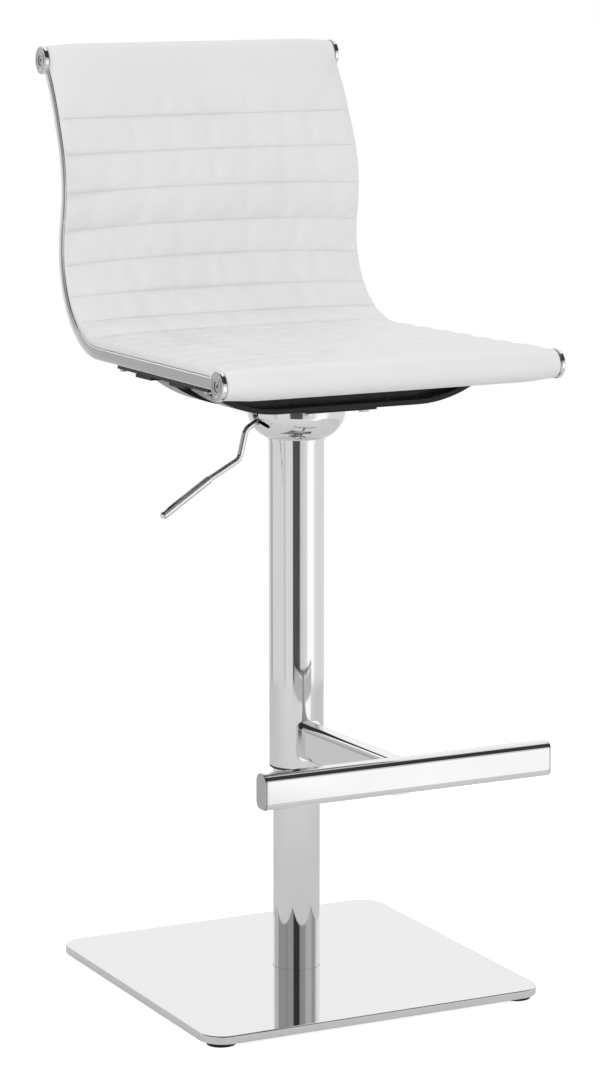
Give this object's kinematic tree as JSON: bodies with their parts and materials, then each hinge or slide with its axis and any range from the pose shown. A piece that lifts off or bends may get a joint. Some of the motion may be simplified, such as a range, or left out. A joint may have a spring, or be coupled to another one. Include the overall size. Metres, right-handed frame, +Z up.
{
  "type": "adjustable swivel stool",
  "caption": "Bar stool with a square base, a gas-lift swivel column, a T-shaped footrest and a ribbed padded sling seat.",
  "frame": {"origin": "on the floor, on the column's axis", "axes": "+Z up along the column, -Y towards the sitter's front, +X to the sitter's left"},
  "size_m": [0.468, 0.6365, 1.1831],
  "materials": {
    "polished_steel": "mirror polished",
    "chrome": "polished chrome",
    "plate_steel": "plain steel",
    "zinc_steel": "zinc plated",
    "black_steel": "satin black coat",
    "black_plastic": "moulded",
    "foot_rubber": "matt",
    "white_leather": "smooth leatherette"
  },
  "bodies": {
    "base": {"base_cover": "polished_steel", "base_plate": "plate_steel", "foot_pads": "foot_rubber", "foot_screws": "zinc_steel", "column_flange": "plate_steel", "column_bolts": "zinc_steel", "lower_column": "polished_steel", "guide_bush": "black_plastic"},
    "spindle": {"thrust_bearing": "zinc_steel", "bearing_washer": "zinc_steel", "rod_clip": "zinc_steel", "piston_rod": "zinc_steel", "piston": "zinc_steel"},
    "carriage": {"upper_column": "polished_steel", "footrest_arm": "polished_steel", "footrest_bar": "polished_steel", "footrest_end_caps": "polished_steel", "bell_cover": "chrome", "left_rail": "chrome", "right_rail": "chrome", "roll_end_caps": "chrome", "front_cross_tube": "plate_steel", "top_cross_tube": "plate_steel", "pressure_tube": "plate_steel", "seat_mount": "plate_steel", "plate_bolts": "zinc_steel", "side_bar_screws": "zinc_steel", "cap_screws": "zinc_steel", "lever_pin": "zinc_steel", "centre_plate": "black_steel", "front_stretcher": "black_steel", "rear_stretcher": "black_steel", "left_side_bar": "black_steel", "right_side_bar": "black_steel", "column_bushing": "black_plastic", "tube_gland": "black_plastic", "seat_sling": "white_leather"},
    "lever": {"release_lever": "chrome", "lever_grip": "chrome"},
    "valve": {"valve_button": "black_plastic"}
  },
  "joints": [
    {"name": "seat_swivel", "type": "hinge", "parent": "base", "child": "spindle", "pos_m": [0, 0, 0], "axis": [0, 0, 1], "continuous": true},
    {"name": "height_lift", "type": "slide", "parent": "spindle", "child": "carriage", "axis": [0, 0, 1], "range_m": [-0.21, 0]},
    {"name": "lever_pivot", "type": "hinge", "parent": "carriage", "child": "lever", "pos_m": [-0.02476, -0.00348, 0.738], "axis": [-0.1392, 0.9903, 0], "range_deg": [0, 6.5], "stiffness_Nm_per_rad": 1},
    {"name": "valve_press", "type": "slide", "parent": "carriage", "child": "valve", "axis": [0, 0, 1], "range_m": [-0.00341, 0], "stiffness_N_per_m": 400}
  ],
  "couplings": [
    {"joint": "valve_press", "follows": "lever_pivot", "m_per_rad": -0.03}
  ]
}
